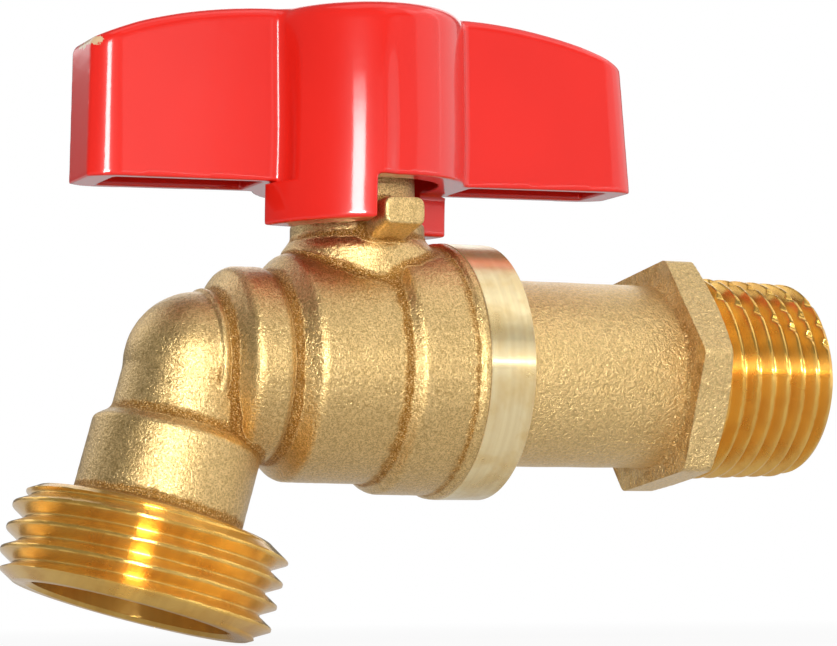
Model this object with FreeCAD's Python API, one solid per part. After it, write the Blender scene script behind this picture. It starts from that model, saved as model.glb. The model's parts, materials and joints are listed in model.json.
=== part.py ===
import FreeCAD, Part
import math
import os

from FreeCAD import Placement, Rotation, Vector

# Quarter-turn ball valve hose bib, millimetres, +Z up.
# The origin is the centre of the inlet mouth, on the pipe axis.  +X points out of
# the inlet, towards the supply pipe, and the stem stands upright at stem_x.
# The handle is modelled open, with its wings along the pipe.

# ---- run along the pipe axis, measured from the stem axis ----
inlet_face = 49.7
stem_x = -inlet_face
elbow_radius = 7.4
first_bulge_radius = 9.75
first_bulge_foot = -16.3
first_bulge_shoulder = -14.25
groove_radius = 9.4
groove_lip = -11.0
groove_floor = -10.15
second_bulge_radius = 11.35
second_bulge_shoulder = -8.3
third_bulge_radius = 12.45
third_bulge_foot = 0.45
third_bulge_shoulder = 1.6
bead_foot = 7.0
bead_shoulder = 7.6
ring_start = 8.45
ring_end = 13.3
ring_radius = 12.95
neck_radius = 9.53
hex_start = 32.7
hex_end = 36.5
hex_across_flats = 22.2
hex_turn = 7.5
hex_edge_break = 0.4
tail_bore_radius = 6.6
bore_step = 15.0
face_chamfer = 0.7
seat_outer_radius = 8.4
port_radius = 4.9
slip = 0.05

# ---- threads ----
inlet_pitch = 25.4 / 14.0
inlet_crest_radius = 10.67
inlet_taper_deg = math.degrees(math.atan(1.0 / 32.0))
inlet_crest_at_front = 38.46
hose_pitch = 25.4 / 11.5
hose_crest_radius = 13.46
hose_crest_at_front = 16.89
thread_depth_per_pitch = 0.65
crest_flat_per_pitch = 0.14

# ---- spout: distances run from the bend, down the tilted spout axis ----
bend_x = -17.17
spout_tilt_deg = 16.14
spout_radius = 6.9
knuckle_radius = 7.15
collar_radius = 8.35
collar_start = 7.4
collar_end = 14.75
thread_blank_start = 16.5
thread_blank_end = 23.6
spout_end = 24.6
nose_radius = 11.65
passage_radius = 5.0
collar_bore_radius = 6.0
collar_bore_start = 10.0
mouth_radius = 9.9
mouth_floor = 17.2
mouth_chamfer = 0.4

# ---- ball and its seats ----
ball_radius = 8.8
chamber_radius = 9.2
seat_face_gap = 0.05
seat_back = 8.2
seat_front = 5.3
spigot_start = 4.5
spigot_radius = 10.3
seal_groove_radius = 9.25
seal_groove_start = 6.6
seal_groove_end = 8.0
seal_thickness = 1.05
slot_width = 3.2
slot_floor = 6.0

# ---- stem and bonnet: heights above the pipe axis ----
stem_radius = 2.75
stem_bore_radius = 2.80
flange_radius = 4.0
flange_bottom = 9.0
flange_top = 10.4
washer_top = 11.2
packing_floor = 13.4
packing_radius = 4.2
ring_height = 1.6
gland_height = 1.0
bonnet_radius = 5.8
bonnet_top = 20.0
bonnet_foot_radius = 7.75
bonnet_collar_radius = 6.75
collar_top = 14.4
nut_top = 22.6
nut_across_flats = 10.0
nut_corner_radius = 5.75
stem_shoulder = 23.4
square_size = 4.2
square_corner_radius = 2.7
stem_top = 30.8
tang_half_length = 3.2
oring_thickness = 0.68
oring_groove_radius = 2.10
oring_groove_bottom = 11.75
oring_groove_top = 12.85

# ---- handle ----
hub_radius = 10.7
hub_top = 35.85
hub_flat_reach = 9.0
skirt_inner_radius = 8.0
skirt_outer_radius = 11.5
skirt_bottom = 13.85
wing_bottom = 18.15
wing_half_length = 29.5
wing_half_width = 3.75
wing_bend_half_width = 4.1
wing_tip_half_width = 2.8
wing_bend_start = 26.0
wing_arch_x = 19.5
wing_arch_top = 34.5
tip_x = wing_half_length - 0.7
tip_top = 31.85
pocket_start = 11.9
pocket_end = wing_half_length - 2.5
pocket_half_width = 2.0
pocket_top = 29.0
pocket_rounding = 0.8
hub_junction = 1.0
grip_rounding = 1.5
recess_floor = 31.2
recess_radius = 5.4

# ---- travel stop ----
lug_half_width = 2.15
lug_reach = 11.6
lug_root = 3.0
lug_top = 15.9
lug_bottom = 13.15
lug_rounding = 0.8
stop_gap = 0.08

# ---- screw ----
screw_radius = 1.5
screw_bottom = 24.6
screw_hole_bottom = 24.0
screw_head_radius = 3.2
screw_head_height = 2.4
cross_length = 3.6
cross_width = 0.9
cross_floor = 1.0
washer_height = 0.9
washer_split = 0.5

PIPE = Placement(Vector(stem_x, 0, 0), Rotation(Vector(0, 1, 0), 90))
STEM = Placement(Vector(stem_x, 0, 0), Rotation())
SPOUT = Placement(Vector(stem_x + bend_x, 0, 0), Rotation(Vector(0, 1, 0), 180 + spout_tilt_deg))


def outline(corners, point):
    """Closed wire through (u, v, rounding) corners, with a tangent arc at each rounded one."""
    places = [Vector(u, v, 0) for u, v, rounding in corners]
    edges = []
    joints = []
    count = len(corners)
    for i in range(count):
        here = places[i]
        back = (places[i - 1] - here).normalize()
        ahead = (places[(i + 1) % count] - here).normalize()
        rounding = corners[i][2]
        if rounding == 0:
            joints.append((here, here, here))
            continue
        half_angle = back.getAngle(ahead) / 2
        bisector = (back + ahead).normalize()
        reach = rounding / math.tan(half_angle)
        middle = here + bisector * (rounding / math.sin(half_angle) - rounding)
        joints.append((here + back * reach, middle, here + ahead * reach))
    for i in range(count):
        start, middle, end = joints[i]
        if (end - start).Length > 1e-6:
            edges.append(Part.Arc(point(start), point(middle), point(end)).toShape())
        following = joints[(i + 1) % count][0]
        if (following - end).Length > 1e-6:
            edges.append(Part.makeLine(point(end), point(following)))
    return Part.Wire(edges)


def turned(corners, placement):
    """Solid of revolution: corners are (radius, distance along the axis, rounding)."""
    wire = outline(corners, lambda p: Vector(p.x, 0, p.y))
    solid = Part.Face(wire).revolve(Vector(), Vector(0, 0, 1), 360)
    solid = Part.makeSolid(solid) if solid.ShapeType != "Solid" else solid
    solid.Placement = placement
    return solid


def rod(radius, start, end, placement):
    """Plain cylinder between two distances along an axis."""
    return turned([(0, start, 0), (radius, start, 0), (radius, end, 0), (0, end, 0)], placement)


def tube(inner, outer, start, end, placement, edge=0.0):
    """Plain ring between two distances along an axis, with optional rounded edges."""
    corners = [(inner, start, 0), (outer, start, edge), (outer, end, edge), (inner, end, 0)]
    return turned(corners, placement)


def polygon_prism(sides, across_flats, start, end, placement, turn=0.0):
    """Regular prism along an axis; turn is the angle of its first corner."""
    radius = across_flats / 2 / math.cos(math.pi / sides)
    points = []
    for k in range(sides + 1):
        angle = math.radians(turn) + 2 * math.pi * k / sides
        points.append(Vector(radius * math.cos(angle), radius * math.sin(angle), start))
    prism = Part.Face(Part.makePolygon(points)).extrude(Vector(0, 0, end - start))
    prism.Placement = placement
    return prism


def thread_groove(pitch, crest_radius, crest_at_front, first, turns, placement, taper_deg=0.0):
    """V groove swept along a right-hand helix, to be cut from a blank on the same axis.

    crest_at_front is where a crest crosses the -Y side; first is the number of
    whole pitches from there to the start of the groove.
    """
    depth = thread_depth_per_pitch * pitch
    overshoot = 0.12
    half_crest = pitch * (1 - crest_flat_per_pitch) / 2
    slope = math.tan(math.radians(30))
    half_root = half_crest - depth * slope
    half_outer = half_crest + overshoot * slope
    start = crest_at_front - pitch / 4 + first * pitch
    radius = crest_radius - (start - hex_end) * math.tan(math.radians(taper_deg))
    section = Part.makePolygon([
        Vector(radius + overshoot, 0, -half_outer),
        Vector(radius - depth, 0, -half_root),
        Vector(radius - depth, 0, half_root),
        Vector(radius + overshoot, 0, half_outer),
        Vector(radius + overshoot, 0, -half_outer),
    ])
    helix = Part.makeLongHelix(pitch, turns * pitch, radius, -taper_deg)
    groove = Part.Wire(helix.Edges).makePipeShell([section], True, True)
    groove.translate(Vector(0, 0, start))
    groove.Placement = placement.multiply(groove.Placement)
    return groove


def union(first, others):
    return first.multiFuse(others).removeSplitter()


def body_run():
    """Cast run of the valve along the pipe axis: bulges, step and the bead by the ring."""
    return turned([
        (0, bend_x, 0),
        (elbow_radius, bend_x, 0),
        (elbow_radius, first_bulge_foot, 0.5),
        (first_bulge_radius, first_bulge_shoulder, 0.9),
        (first_bulge_radius, groove_lip, 0.5),
        (groove_radius, groove_floor, 0.5),
        (second_bulge_radius, second_bulge_shoulder, 0.8),
        (second_bulge_radius, third_bulge_foot, 0.5),
        (third_bulge_radius, third_bulge_shoulder, 0.5),
        (third_bulge_radius, bead_foot, 0.2),
        (ring_radius, bead_shoulder, 0.2),
        (ring_radius, ring_start, 0),
        (0, ring_start, 0),
    ], PIPE)


def spout_outside():
    """Spout below the bend: pipe, collar and the blank of the hose thread."""
    blank = turned([
        (0, 0, 0),
        (spout_radius, 0, 0),
        (spout_radius, collar_start - 1.2, 1.0),
        (collar_radius, collar_start, 0.5),
        (collar_radius, collar_end, 0.3),
        (nose_radius, collar_end + 0.8, 0.3),
        (hose_crest_radius, thread_blank_start, 0),
        (hose_crest_radius, thread_blank_end, 0),
        (nose_radius, spout_end, 0),
        (0, spout_end, 0),
    ], SPOUT)
    groove = thread_groove(hose_pitch, hose_crest_radius, hose_crest_at_front, -1, 5, SPOUT)
    return blank.cut(groove)


def bonnet_outside():
    """Upright column that holds the stem, flared where it meets the ball chamber."""
    return turned([
        (0, 2.0, 0),
        (bonnet_foot_radius + 0.45, 2.0, 0),
        (bonnet_foot_radius, 11.6, 1.2),
        (bonnet_collar_radius, 12.9, 0.6),
        (bonnet_collar_radius, collar_top, 0.25),
        (bonnet_radius, collar_top + 0.15, 0),
        (bonnet_radius, bonnet_top, 0.3),
        (0, bonnet_top, 0),
    ], STEM)


def stop_lug():
    """Block on the -Y side of the bonnet that the handle's skirt stops against."""
    root_bottom = lug_bottom - 2.1
    side = outline([
        (-lug_root, lug_top, 0),
        (-lug_reach, lug_top, 0.35),
        (-lug_reach, lug_bottom, 0.35),
        (-lug_root, root_bottom, 0),
    ], lambda p: Vector(-2 * lug_half_width, p.x, p.y))
    slab = Part.Face(side).extrude(Vector(4 * lug_half_width, 0, 0))
    front = outline([
        (-lug_half_width, lug_top, lug_rounding),
        (lug_half_width, lug_top, lug_rounding),
        (lug_half_width, root_bottom - 1, 0),
        (-lug_half_width, root_bottom - 1, 0),
    ], lambda p: Vector(p.x, -lug_reach - 1, p.y))
    column = Part.Face(front).extrude(Vector(0, lug_reach, 0))
    lug = slab.common(column)
    lug.translate(Vector(stem_x, 0, 0))
    return lug


def valve_body():
    knuckle = Part.makeSphere(knuckle_radius, SPOUT.Base)
    body = union(body_run(), [knuckle, spout_outside(), bonnet_outside(), stop_lug()])
    chamber = turned([
        (0, -seat_back, 0),
        (seat_outer_radius + slip, -seat_back, 0),
        (seat_outer_radius + slip, -seat_front - 0.3, 0),
        (chamber_radius, -seat_front, 0),
        (chamber_radius, spigot_start - 2 * slip, 0),
        (spigot_radius + slip, spigot_start - 2 * slip, 0),
        (spigot_radius + slip, ring_start, 0),
        (0, ring_start, 0),
    ], PIPE)
    stem_hole = turned([
        (0, 0, 0),
        (flange_radius + 2 * slip, 0, 0),
        (flange_radius + 2 * slip, washer_top, 0),
        (stem_bore_radius, washer_top, 0),
        (stem_bore_radius, packing_floor, 0),
        (packing_radius, packing_floor, 0),
        (packing_radius, bonnet_top, 0),
        (0, bonnet_top, 0),
    ], STEM)
    spout_bore = turned([
        (0, 0, 0),
        (passage_radius, 0, 0),
        (passage_radius, collar_bore_start - 1.0, 0.8),
        (collar_bore_radius, collar_bore_start, 0.8),
        (collar_bore_radius, mouth_floor - 2.0, 0.4),
        (mouth_radius, mouth_floor, 0.4),
        (mouth_radius, spout_end - mouth_chamfer, 0),
        (mouth_radius + mouth_chamfer, spout_end, 0),
        (0, spout_end, 0),
    ], SPOUT)
    bend = Part.makeSphere(passage_radius + 0.2, SPOUT.Base)
    passage = rod(passage_radius, bend_x, -seat_back, PIPE)
    return body.cut([chamber, stem_hole, spout_bore, bend, passage])


def inlet_adapter():
    """Screwed-in tail: turned ring, neck, hex and the tapered pipe thread."""
    taper = math.tan(math.radians(inlet_taper_deg))
    tip_radius = inlet_crest_radius - (inlet_face - face_chamfer - hex_end) * taper
    flat_radius = hex_across_flats / 2
    corner_radius = flat_radius / math.cos(math.pi / 6)
    edge = 0.1
    blank = turned([
        (0, spigot_start, 0),
        (spigot_radius - 0.3, spigot_start, 0),
        (spigot_radius, spigot_start + 0.3, 0),
        (spigot_radius, ring_start, 0),
        (ring_radius - edge, ring_start, 0),
        (ring_radius, ring_start + edge, 0),
        (ring_radius, ring_end - edge, 0),
        (ring_radius - edge, ring_end, 0),
        (neck_radius, ring_end, 0.7),
        (neck_radius, hex_start, 0),
        (neck_radius, hex_end, 0),
        (inlet_crest_radius, hex_end, 0),
        (tip_radius, inlet_face - face_chamfer, 0),
        (mouth_radius, inlet_face, 0),
        (0, inlet_face, 0),
    ], PIPE)
    prism = polygon_prism(6, hex_across_flats, hex_start, hex_end, PIPE, 30 - hex_turn)
    chamfer = turned([
        (0, hex_start, 0),
        (corner_radius - hex_edge_break, hex_start, 0),
        (corner_radius, hex_start + hex_edge_break, 0),
        (corner_radius, hex_end - hex_edge_break, 0),
        (flat_radius, hex_end, 0),
        (0, hex_end, 0),
    ], PIPE)
    groove = thread_groove(inlet_pitch, inlet_crest_radius, inlet_crest_at_front, -1, 8.2, PIPE,
                           inlet_taper_deg)
    relief = rod(ring_radius, ring_start, hex_end, PIPE)
    tail = union(blank, [prism.common(chamfer)]).cut(groove.cut(relief))
    bore = turned([
        (0, spigot_start, 0),
        (seat_outer_radius + slip, spigot_start, 0),
        (seat_outer_radius + slip, seat_back, 0),
        (passage_radius, seat_back, 0),
        (passage_radius, bore_step - 2.0, 0.8),
        (tail_bore_radius, bore_step, 0.8),
        (tail_bore_radius, inlet_face - 0.5, 0),
        (tail_bore_radius + 0.5, inlet_face, 0),
        (0, inlet_face, 0),
    ], PIPE)
    seal_groove = tube(seal_groove_radius, spigot_radius + 1, seal_groove_start, seal_groove_end, PIPE)
    return tail.cut([bore, seal_groove])


def ring_seal(major, thickness, distance, placement):
    """O-ring centred on an axis."""
    ring = Part.makeTorus(major, thickness / 2)
    ring.translate(Vector(0, 0, distance))
    ring.Placement = placement.multiply(ring.Placement)
    return ring


def ball():
    """Ported ball, with the cross slot on top that the stem's tang turns."""
    half_length = math.sqrt(ball_radius ** 2 - port_radius ** 2)
    meridian = Part.Wire([
        Part.Arc(Vector(port_radius, 0, -half_length), Vector(ball_radius, 0, 0),
                 Vector(port_radius, 0, half_length)).toShape(),
        Part.makeLine(Vector(port_radius, 0, half_length), Vector(port_radius, 0, -half_length)),
    ])
    sphere = Part.Face(meridian).revolve(Vector(), Vector(0, 0, 1), 360)
    sphere.Placement = PIPE
    slot = Part.makeBox(slot_width, 2 * ball_radius, ball_radius)
    slot.translate(Vector(stem_x - slot_width / 2, -ball_radius, slot_floor))
    return sphere.cut(slot)


def seat(back, front):
    """Plastic seat ring, hollowed to the ball's sphere on its front face."""
    low, high = sorted((back, front))
    blank = tube(passage_radius, seat_outer_radius, low, high, PIPE)
    sphere = Part.makeSphere(ball_radius + seat_face_gap, PIPE.Base)
    return blank.cut(sphere)


def stem():
    """Stem put in from inside: tang, flange, seal groove, shaft and drive square."""
    shaft = turned([
        (0, flange_bottom, 0),
        (flange_radius, flange_bottom, 0),
        (flange_radius, flange_top, 0),
        (stem_radius, flange_top, 0),
        (stem_radius, oring_groove_bottom, 0),
        (oring_groove_radius, oring_groove_bottom, 0),
        (oring_groove_radius, oring_groove_top, 0),
        (stem_radius, oring_groove_top, 0),
        (stem_radius, stem_shoulder, 0),
        (0, stem_shoulder, 0),
    ], STEM)
    tang_bottom = slot_floor + 4 * slip
    tang_width = slot_width - 4 * slip
    tang = Part.makeBox(tang_width, 2 * tang_half_length, flange_bottom - tang_bottom)
    tang.translate(Vector(stem_x - tang_width / 2, -tang_half_length, tang_bottom))
    square = polygon_prism(4, square_size, stem_shoulder, stem_top, STEM, 45)
    square = square.common(rod(square_corner_radius, stem_shoulder, stem_top, STEM))
    screw_hole = rod(screw_radius + slip, screw_hole_bottom, stem_top, STEM)
    return union(shaft, [tang, square]).cut(screw_hole)


def packing_nut():
    """Gland nut: threaded shank in the bonnet, hex on top, bored for the stem."""
    gland_top = packing_floor + 2 * ring_height + gland_height
    shank = rod(packing_radius - slip, gland_top, bonnet_top, STEM)
    head = polygon_prism(6, nut_across_flats, bonnet_top, nut_top, STEM)
    corner_cut = turned([
        (0, bonnet_top, 0),
        (nut_across_flats / 2 + 0.4, bonnet_top, 0),
        (nut_corner_radius, bonnet_top + 0.4, 0),
        (nut_corner_radius, nut_top - 0.5, 0),
        (nut_across_flats / 2, nut_top, 0),
        (0, nut_top, 0),
    ], STEM)
    hole = rod(stem_bore_radius, gland_top, nut_top, STEM)
    return union(shank, [head.common(corner_cut)]).cut(hole)


def edges_near(shape, test):
    return [edge for edge in shape.Edges if test(edge.CenterOfMass)]


def grip_plan():
    """Plan of the handle: the round hub, and wings that curve in over their last stretch."""
    gap = wing_half_width + hub_junction
    centre = Vector(math.sqrt((hub_radius + hub_junction) ** 2 - gap ** 2), gap, 0)
    on_hub = centre * (hub_radius / (hub_radius + hub_junction))
    on_wing = Vector(centre.x, wing_half_width, 0)
    towards = ((on_hub - centre).normalize() + (on_wing - centre).normalize()).normalize()
    middle = centre + towards * hub_junction
    bend = Vector(wing_bend_start, wing_bend_half_width, 0)
    bend_middle = Vector((wing_bend_start + wing_half_length) / 2, wing_bend_half_width - 0.3, 0)
    tip = Vector(wing_half_length, wing_tip_half_width, 0)
    edges = []
    for x in (1, -1):
        for y in (1, -1):
            def place(p):
                return Vector(x * p.x, y * p.y, 0)
            edges.append(Part.Arc(place(on_hub), place(middle), place(on_wing)).toShape())
            edges.append(Part.makeLine(place(on_wing), place(bend)))
            edges.append(Part.Arc(place(bend), place(bend_middle), place(tip)).toShape())
        edges.append(Part.makeLine(Vector(x * tip.x, -tip.y, 0), Vector(x * tip.x, tip.y, 0)))
    for y in (1, -1):
        left = Vector(-on_hub.x, y * on_hub.y, 0)
        right = Vector(on_hub.x, y * on_hub.y, 0)
        edges.append(Part.Arc(left, Vector(0, y * hub_radius, 0), right).toShape())
    return Part.Wire(Part.__sortEdges__(edges))


def grip_profile():
    """Side view of the handle above the skirt: flat over the hub, arched down to the tips."""
    def point(x, z):
        return Vector(x, -2 * hub_radius, z)
    return Part.Wire([
        Part.makeLine(point(-wing_half_length, wing_bottom), point(wing_half_length, wing_bottom)),
        Part.makeLine(point(wing_half_length, wing_bottom), point(tip_x, tip_top)),
        Part.Arc(point(tip_x, tip_top), point(wing_arch_x, wing_arch_top),
                 point(hub_flat_reach, hub_top)).toShape(),
        Part.makeLine(point(hub_flat_reach, hub_top), point(-hub_flat_reach, hub_top)),
        Part.Arc(point(-hub_flat_reach, hub_top), point(-wing_arch_x, wing_arch_top),
                 point(-tip_x, tip_top)).toShape(),
        Part.makeLine(point(-tip_x, tip_top), point(-wing_half_length, wing_bottom)),
    ])


def solid_grip():
    """Hub and wings before they are hollowed, with the upper edges rounded."""
    slab = Part.Face(grip_plan()).extrude(Vector(0, 0, hub_top))
    slab.translate(Vector(0, 0, wing_bottom))
    side = Part.Face(grip_profile()).extrude(Vector(0, 4 * hub_radius, 0))
    grip = slab.common(side).Solids[0]
    across = edges_near(grip, lambda p: abs(p.y) < 0.1 and abs(p.x) < wing_arch_x)
    upper = edges_near(grip, lambda p: p.z > tip_top - 0.3)
    rims = [edge for edge in upper if not any(edge.isSame(other) for other in across)]
    return grip.makeFillet(grip_rounding, rims)


def skirt_tab(side):
    """One quarter of the skirt below the hub, between the two stop faces."""
    ring = turned([
        (skirt_inner_radius, skirt_bottom, 0),
        (skirt_outer_radius, skirt_bottom, 0.4),
        (skirt_outer_radius, wing_bottom, 0.4),
        (skirt_inner_radius, wing_bottom + 3.0, 0),
    ], Placement())
    face = lug_half_width + stop_gap
    size = 2 * skirt_outer_radius
    start = face if side > 0 else -size - face
    block = Part.makeBox(size, size, size)
    block.translate(Vector(start, start, skirt_bottom))
    return ring.common(block)


def handle():
    """Die-cast handle: hub, two hollow wings, skirt tabs, drive square and screw recess."""
    grip = solid_grip()
    length = pocket_end - pocket_start
    for left in (pocket_start, -pocket_end):
        pocket = Part.makeBox(length, 2 * pocket_half_width, pocket_top - wing_bottom)
        pocket.translate(Vector(left, -pocket_half_width, wing_bottom))
        inner_edges = edges_near(pocket, lambda p: p.z > wing_bottom + 1)
        grip = grip.cut(pocket.makeFillet(pocket_rounding, inner_edges))
    inside = turned([
        (0, skirt_bottom, 0),
        (skirt_inner_radius, skirt_bottom, 0),
        (skirt_inner_radius, stem_shoulder, 0.8),
        (0, stem_shoulder, 0),
    ], Placement())
    recess = turned([
        (0, recess_floor, 0),
        (recess_radius, recess_floor, 0.3),
        (recess_radius, hub_top + 1, 0),
        (0, hub_top + 1, 0),
    ], Placement())
    drive = polygon_prism(4, square_size + 2 * slip, stem_shoulder, recess_floor, Placement(), 45)
    grip = union(grip, [skirt_tab(1), skirt_tab(-1)]).cut([inside, recess, drive])
    grip.translate(Vector(stem_x, 0, 0))
    return grip


def lock_washer():
    """Split spring washer under the screw head."""
    edge = 0.15
    top = recess_floor + washer_height
    ring = tube(screw_radius + edge, screw_head_radius - 0.2, recess_floor, top, STEM, edge)
    split = Part.makeBox(screw_head_radius, washer_split, 3 * washer_height)
    split.translate(Vector(stem_x + screw_radius - edge, -washer_split / 2, recess_floor - washer_height))
    split.rotate(Vector(stem_x, 0, (recess_floor + top) / 2), Vector(1, 0, 0), 25)
    return ring.cut(split)


def handle_screw():
    """Pan head cross-recess screw that clamps the handle to the stem."""
    seat_z = recess_floor + washer_height
    head_top = seat_z + screw_head_height
    shape = turned([
        (0, screw_bottom, 0),
        (screw_radius - 0.4, screw_bottom, 0),
        (screw_radius, screw_bottom + 0.4, 0),
        (screw_radius, seat_z, 0),
        (screw_head_radius, seat_z, 0.3),
        (screw_head_radius, head_top, screw_head_height / 2),
        (0, head_top, 0),
    ], STEM)
    for angle in (0, 90):
        slot = Part.makeBox(cross_length, cross_width, screw_head_height)
        slot.translate(Vector(-cross_length / 2, -cross_width / 2, seat_z + cross_floor))
        slot.rotate(Vector(), Vector(0, 0, 1), angle)
        slot.translate(Vector(stem_x, 0, 0))
        shape = shape.cut(slot)
    return shape


def main():
    ring_one_top = packing_floor + ring_height
    ring_two_top = ring_one_top + ring_height
    gland_top = ring_two_top + gland_height
    seal_centre = (seal_groove_start + seal_groove_end) / 2
    seal_major = (seal_groove_radius + spigot_radius + slip) / 2
    oring_major = (oring_groove_radius + stem_bore_radius) / 2
    oring_height = (oring_groove_bottom + oring_groove_top) / 2
    parts = {
        "valve_body": valve_body(),
        "inlet_adapter": inlet_adapter(),
        "adapter_o_ring": ring_seal(seal_major, seal_thickness, seal_centre, PIPE),
        "ball": ball(),
        "seat_outlet": seat(-seat_back, -seat_front),
        "seat_inlet": seat(seat_back, seat_front),
        "stem": stem(),
        "stem_thrust_washer": tube(stem_radius, flange_radius, flange_top, washer_top, STEM),
        "stem_o_ring": ring_seal(oring_major, oring_thickness, oring_height, STEM),
        "packing_ring_lower": tube(stem_radius, packing_radius, packing_floor, ring_one_top, STEM),
        "packing_ring_upper": tube(stem_radius, packing_radius, ring_one_top, ring_two_top, STEM),
        "gland_ring": tube(stem_bore_radius, packing_radius, ring_two_top, gland_top, STEM),
        "packing_nut": packing_nut(),
        "handle": handle(),
        "handle_lock_washer": lock_washer(),
        "handle_screw": handle_screw(),
    }
    os.makedirs("parts", exist_ok=True)
    for name, made in parts.items():
        shape = made.Solids[0]
        print(name, len(made.Solids), shape.isValid(), round(shape.Volume, 1))
        shape.exportStep("parts/%s.step" % name)


main()
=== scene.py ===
import json
import math

import bmesh
import bpy
import numpy as np
from mathutils import Matrix, Vector


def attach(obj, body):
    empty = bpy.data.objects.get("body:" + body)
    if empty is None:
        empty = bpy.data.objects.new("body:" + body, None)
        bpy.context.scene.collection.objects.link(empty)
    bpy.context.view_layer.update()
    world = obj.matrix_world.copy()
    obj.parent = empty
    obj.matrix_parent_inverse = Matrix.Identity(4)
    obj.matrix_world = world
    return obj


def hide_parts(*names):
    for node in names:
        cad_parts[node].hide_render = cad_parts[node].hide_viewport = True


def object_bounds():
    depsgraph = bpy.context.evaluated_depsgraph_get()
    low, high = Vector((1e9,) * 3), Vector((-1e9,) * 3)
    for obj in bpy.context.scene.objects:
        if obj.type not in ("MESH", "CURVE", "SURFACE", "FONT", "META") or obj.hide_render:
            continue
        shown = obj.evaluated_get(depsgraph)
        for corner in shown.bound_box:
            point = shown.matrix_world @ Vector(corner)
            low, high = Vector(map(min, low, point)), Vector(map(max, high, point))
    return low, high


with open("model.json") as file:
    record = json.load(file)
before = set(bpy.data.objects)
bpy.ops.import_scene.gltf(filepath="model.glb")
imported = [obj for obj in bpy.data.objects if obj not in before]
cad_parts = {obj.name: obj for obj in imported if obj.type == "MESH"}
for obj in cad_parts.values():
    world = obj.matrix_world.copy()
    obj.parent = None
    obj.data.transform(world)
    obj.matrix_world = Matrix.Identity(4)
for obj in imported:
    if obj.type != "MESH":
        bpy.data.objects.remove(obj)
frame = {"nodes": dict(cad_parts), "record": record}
cad_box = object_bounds()
nodes = frame["nodes"]

# ---------------------------------------------------------------- dimensions, millimetres
MM = 0.001
stem_x = -49.7
bend_x = -17.17
spout_tilt = math.radians(16.14)

# along the pipe axis, measured from the stem axis
elbow_radius, first_bulge_radius, groove_radius = 7.45, 9.75, 9.25
second_bulge_radius, third_bulge_radius = 11.28, 12.45
ring_start, ring_end, ring_radius = 8.45, 13.3, 12.95
ring_edge, face_edge_break = 0.08, 0.14
neck_radius = 9.53
hex_start, hex_end, hex_across = 32.7, 36.5, 22.2
hex_corner = math.radians(30.0 - 7.5)
inlet_face, tip_chamfer = 49.7, 0.7
inlet_pitch, inlet_crest, inlet_front = 25.4 / 14.0, 10.67, 38.46
inlet_taper = 1.0 / 32.0
dent_rows = ((66, 0), (49, 44), (35, 0))
dent_depth, dent_width, dent_slant = 0.42, 0.5, 0.05
parting_angle, parting_height, parting_width = math.radians(270 + 50), 0.07, 0.17
tail_bore_radius, bore_step = 6.6, 15.0
seat_back, seat_pocket_radius, chamber_radius = 8.2, 8.45, 9.2
spigot_start, spigot_radius, spigot_slip = 4.5, 10.3, 0.05
passage_radius = 5.0

# down the spout axis, measured from the bend
knuckle_radius, spout_radius = 7.15, 6.9
collar_radius, collar_start, collar_end = 8.35, 7.4, 14.75
flange_start, flange_radius = 15.55, 11.9
hose_pitch, hose_crest, hose_front = 25.4 / 11.5, 13.45, 16.89
blank_start, blank_end, spout_end, nose_radius = 16.5, 23.6, 24.6, 11.65
collar_bore_radius, collar_bore_start = 6.0, 10.0
mouth_radius, mouth_floor, mouth_chamfer = 9.9, 17.2, 0.4

# threads, depth and crest flat as shares of the pitch
thread_depth, crest_flat, flank_angle = 0.65, 0.14, math.radians(30)
crest_softness, root_softness = 0.09, 0.12
thread_step = 0.08

# bonnet and stop lug, heights over the pipe axis
bonnet_foot_radius, bonnet_collar_radius, bonnet_radius = 7.75, 6.75, 5.8
bonnet_collar_top, bonnet_top = 14.4, 20.0
stem_flange_radius, stem_hole_radius, packing_radius = 4.1, 2.8, 4.2
washer_top, packing_floor = 11.2, 13.4
lug_half_width, lug_reach, lug_root = 2.15, 11.6, 3.0
lug_top, lug_bottom, lug_drop = 15.9, 13.15, 2.1

# handle, heights over the pipe axis and distances from the stem axis
hub_radius, hub_top, hub_flat_reach = 10.7, 35.45, 9.0
wing_bottom, skirt_bottom, skirt_inner = 18.15, 13.85, 8.0
wing_end, wing_half_width, wing_end_half_width = 29.65, 3.75, 4.1
wing_corner_radius, wing_corner_turn = 4.4, math.radians(45)
wing_arch, wing_tip = (19.5, 34.45), (28.8, 31.8)
wing_lean, wing_lean_start = 0.6, 24.0
hub_junction = 1.0
wing_rounding, tip_rounding, hub_rounding = 1.0, 0.6, 1.7
stem_shoulder, recess_floor, recess_radius = 23.4, 31.2, 5.4
drive_half, stop_gap = 2.15, 0.08
pocket_start, pocket_end, pocket_half_width, pocket_top = 11.4, 26.7, 2.75, 29.3
tab_flare, casting_shift, off_level = 0.85, 0.3, math.radians(1.25)

# steps of the lathe profiles and the two voxel skins
longest_step = 2.0
body_voxel, handle_voxel = 0.165, 0.15


def axes(base, x, z):
    """Matrix whose local Z runs along z and whose local X is x, with its origin at base."""
    x, z = Vector(x), Vector(z)
    y = z.cross(x)
    matrix = Matrix((x, y, z)).transposed().to_4x4()
    matrix.translation = Vector(base)
    return matrix


spout_axis = (-math.sin(spout_tilt), 0, -math.cos(spout_tilt))
PIPE = axes((stem_x, 0, 0), (0, 0, -1), (1, 0, 0))
STEM = axes((stem_x, 0, 0), (1, 0, 0), (0, 0, 1))
SPOUT = axes((stem_x + bend_x, 0, 0), (-math.cos(spout_tilt), 0, math.sin(spout_tilt)), spout_axis)


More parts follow.
